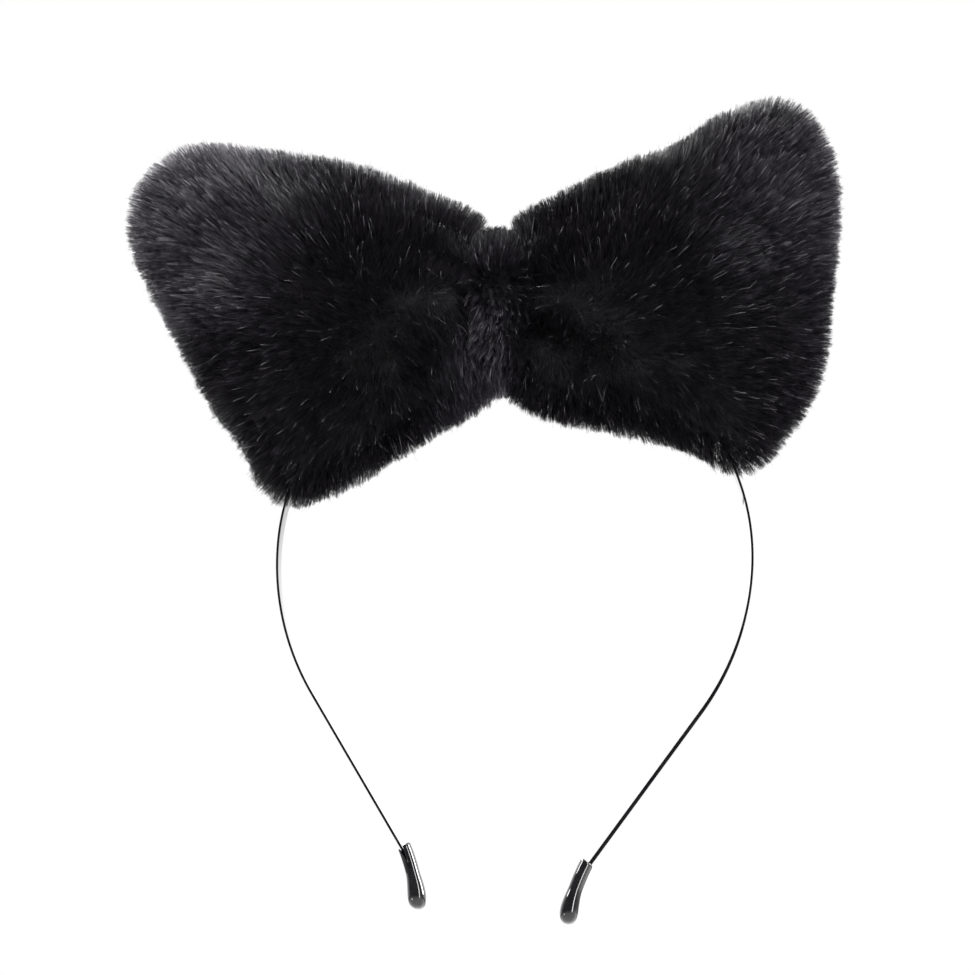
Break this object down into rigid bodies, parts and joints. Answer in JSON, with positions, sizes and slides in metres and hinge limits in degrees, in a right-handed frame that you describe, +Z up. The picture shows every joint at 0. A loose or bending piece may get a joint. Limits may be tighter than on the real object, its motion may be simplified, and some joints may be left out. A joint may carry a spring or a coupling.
{
  "type": "animal ears headband",
  "caption": "Sprung steel-strip headband carrying a bow of stuffed faux-fur ears gathered into a fur-wrapped knot, with moulded caps on the strip's ends.",
  "frame": {"origin": "middle of the knot's flat underside, where the headband rests on the crown of the head", "axes": "+X along the bow, to the right as seen from the front, -Y to the front, +Z up through the knot; the steel band is turned 6 degrees about +Y under the bow, as in the picture"},
  "size_m": [0.2028, 0.034, 0.2321],
  "materials": {
    "steel": "gloss black enamel",
    "vinyl": "gloss black dipped vinyl",
    "fur": "long black pile with a faint violet-grey sheen",
    "wrap_fur": "shorter black pile, combed flat",
    "backing": "gathered fur backing",
    "thread": "twisted sewing thread",
    "webbing": "woven tape",
    "wadding": "polyester stuffing"
  },
  "bodies": {
    "crown": {"band_arch": "steel", "knot_core": "backing", "knot_thread": "thread", "knot_wrap": "wrap_fur", "left_sleeve": "webbing", "right_sleeve": "webbing"},
    "left_leg": {"left_leg_strip": "steel", "left_end_cap": "vinyl"},
    "right_leg": {"right_leg_strip": "steel", "right_end_cap": "vinyl"},
    "left_ear": {"left_ear_front": "fur", "left_ear_back": "fur", "left_ear_filling": "wadding"},
    "right_ear": {"right_ear_front": "fur", "right_ear_back": "fur", "right_ear_filling": "wadding"}
  },
  "joints": [
    {"name": "left_leg_flex", "type": "hinge", "parent": "crown", "child": "left_leg", "pos_m": [-0.06683, 0, -0.04218], "axis": [0, 1, 0], "range_deg": [-5, 28], "stiffness_Nm_per_rad": 0.4},
    {"name": "right_leg_flex", "type": "hinge", "parent": "crown", "child": "right_leg", "pos_m": [0.06683, 0, -0.05622], "axis": [0, -1, 0], "range_deg": [-5, 28], "stiffness_Nm_per_rad": 0.4},
    {"name": "left_ear_tilt", "type": "hinge", "parent": "crown", "child": "left_ear", "pos_m": [-0.00935, 0, 0.01735], "axis": [0.7934, 0, 0.6088], "range_deg": [-18, 18], "stiffness_Nm_per_rad": 0.08},
    {"name": "right_ear_tilt", "type": "hinge", "parent": "crown", "child": "right_ear", "pos_m": [0.00935, 0, 0.01735], "axis": [0.7934, 0, -0.6088], "range_deg": [-18, 18], "stiffness_Nm_per_rad": 0.08}
  ]
}
